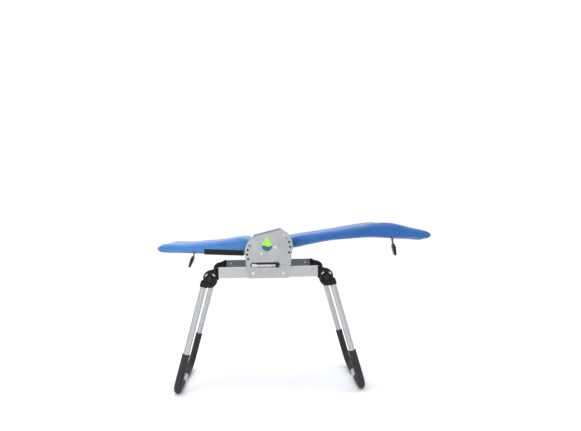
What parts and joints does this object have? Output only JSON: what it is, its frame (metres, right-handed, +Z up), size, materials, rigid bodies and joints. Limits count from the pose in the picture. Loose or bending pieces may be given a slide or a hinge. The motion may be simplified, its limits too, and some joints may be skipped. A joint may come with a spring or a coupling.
{
  "type": "reclining bath chair",
  "caption": "Bath and shower chair with a padded seat and a reclining padded backrest on a low metal base with folding U-shaped legs.",
  "frame": {"origin": "on the floor, below the middle of the chair's overall length and width", "axes": "+X towards the head end of the chair, +Y towards the occupant's right, +Z up"},
  "size_m": [1.091, 0.456, 0.6671],
  "materials": {
    "anodised_tube": "satin anodised aluminium tube",
    "plate_paint": "light grey speckled powder coat",
    "bracket_metal": "plain aluminium plate",
    "hinge_nylon": "moulded glass-filled nylon",
    "sleeve_rubber": "soft matt rubber",
    "cover_fabric": "blue quick-drying mesh fabric",
    "flap_fabric": "black hook-and-loop band",
    "webbing": "black woven webbing",
    "bright_steel": "stainless steel",
    "black_plastic": "moulded black plastic",
    "badge": "printed plastic badge, plain drop shape"
  },
  "bodies": {
    "base": {"left_rail": "anodised_tube", "right_rail": "anodised_tube", "left_side_plate": "plate_paint", "right_side_plate": "plate_paint", "cross_tubes": "anodised_tube", "cross_tube_bolts": "bright_steel", "side_plate_badges": "badge", "lever_supports": "black_plastic", "lever_screws": "bright_steel", "hip_sling": "cover_fabric", "foot_left_hinge_yoke": "hinge_nylon", "foot_right_hinge_yoke": "hinge_nylon", "head_left_hinge_yoke": "hinge_nylon", "head_right_hinge_yoke": "hinge_nylon", "hinge_pins": "bright_steel", "hinge_wear_rings": "bright_steel", "rail_plug_rivets": "bright_steel", "release_button_springs": "bright_steel", "seat_pivot_bolts": "bright_steel", "backrest_pivot_bolts": "bright_steel"},
    "foot_legs": {"foot_leg_tube": "anodised_tube", "foot_left_leg_hub": "hinge_nylon", "foot_right_leg_hub": "hinge_nylon", "foot_leg_sleeves": "sleeve_rubber", "foot_leg_rivets": "bright_steel"},
    "head_legs": {"head_leg_tube": "anodised_tube", "head_left_leg_hub": "hinge_nylon", "head_right_leg_hub": "hinge_nylon", "head_leg_sleeves": "sleeve_rubber", "head_leg_rivets": "bright_steel"},
    "seat": {"seat_frame_tube": "anodised_tube", "seat_cross_bar": "anodised_tube", "left_seat_bracket": "bracket_metal", "right_seat_bracket": "bracket_metal", "seat_index_housings": "black_plastic", "seat_index_springs": "bright_steel", "seat_pad": "cover_fabric", "seat_cover_flaps": "flap_fabric", "seat_strap": "webbing", "seat_buckle": "black_plastic"},
    "backrest": {"backrest_frame_tube": "anodised_tube", "backrest_cross_bar": "anodised_tube", "left_backrest_bracket": "bracket_metal", "right_backrest_bracket": "bracket_metal", "backrest_index_housings": "black_plastic", "backrest_index_springs": "bright_steel", "backrest_pad": "cover_fabric", "backrest_strap": "webbing", "backrest_buckle": "black_plastic"},
    "left_lever": {"left_lever_blade": "bright_steel", "left_lever_knob": "black_plastic"},
    "left_seat_index_pin": {"left_seat_index_pin": "bright_steel"},
    "left_backrest_index_pin": {"left_backrest_index_pin": "bright_steel"},
    "foot_left_release_button": {"foot_left_release_button": "black_plastic"},
    "head_left_release_button": {"head_left_release_button": "black_plastic"},
    "right_lever": {"right_lever_blade": "bright_steel", "right_lever_knob": "black_plastic"},
    "right_seat_index_pin": {"right_seat_index_pin": "bright_steel"},
    "right_backrest_index_pin": {"right_backrest_index_pin": "bright_steel"},
    "foot_right_release_button": {"foot_right_release_button": "black_plastic"},
    "head_right_release_button": {"head_right_release_button": "black_plastic"}
  },
  "joints": [
    {"name": "foot_legs_fold", "type": "hinge", "parent": "base", "child": "foot_legs", "pos_m": [-0.3345, 0, 0.45661], "axis": [0, 1, 0], "range_deg": [-15, 75]},
    {"name": "head_legs_fold", "type": "hinge", "parent": "base", "child": "head_legs", "pos_m": [0.1175, 0, 0.45661], "axis": [0, -1, 0], "range_deg": [-15, 75]},
    {"name": "seat_tilt", "type": "hinge", "parent": "base", "child": "seat", "pos_m": [-0.1325, 0, 0.55111], "axis": [0, 1, 0], "range_deg": [0, 54]},
    {"name": "backrest_recline", "type": "hinge", "parent": "base", "child": "backrest", "pos_m": [-0.0785, 0, 0.57511], "axis": [0, -1, 0], "range_deg": [0, 75]},
    {"name": "foot_left_release_button_press", "type": "slide", "parent": "base", "child": "foot_left_release_button", "axis": [0, 1, 0], "range_m": [0, 0.004], "stiffness_N_per_m": 600},
    {"name": "head_left_release_button_press", "type": "slide", "parent": "base", "child": "head_left_release_button", "axis": [0, 1, 0], "range_m": [0, 0.004], "stiffness_N_per_m": 600},
    {"name": "left_seat_index_pin_slide", "type": "slide", "parent": "seat", "child": "left_seat_index_pin", "axis": [0, -1, 0], "range_m": [0, 0.0065]},
    {"name": "left_backrest_index_pin_slide", "type": "slide", "parent": "backrest", "child": "left_backrest_index_pin", "axis": [0, -1, 0], "range_m": [0, 0.0065]},
    {"name": "left_lever_tilt", "type": "hinge", "parent": "base", "child": "left_lever", "pos_m": [-0.1085, 0, 0.50586], "axis": [0, 1, 0], "range_deg": [0, 4.5], "stiffness_Nm_per_rad": 0.6},
    {"name": "foot_right_release_button_press", "type": "slide", "parent": "base", "child": "foot_right_release_button", "axis": [0, -1, 0], "range_m": [0, 0.004], "stiffness_N_per_m": 600},
    {"name": "head_right_release_button_press", "type": "slide", "parent": "base", "child": "head_right_release_button", "axis": [0, -1, 0], "range_m": [0, 0.004], "stiffness_N_per_m": 600},
    {"name": "right_seat_index_pin_slide", "type": "slide", "parent": "seat", "child": "right_seat_index_pin", "axis": [0, 1, 0], "range_m": [0, 0.0065]},
    {"name": "right_backrest_index_pin_slide", "type": "slide", "parent": "backrest", "child": "right_backrest_index_pin", "axis": [0, 1, 0], "range_m": [0, 0.0065]},
    {"name": "right_lever_tilt", "type": "hinge", "parent": "base", "child": "right_lever", "pos_m": [-0.1085, 0, 0.50586], "axis": [0, 1, 0], "range_deg": [0, 4.5], "stiffness_Nm_per_rad": 0.6}
  ]
}
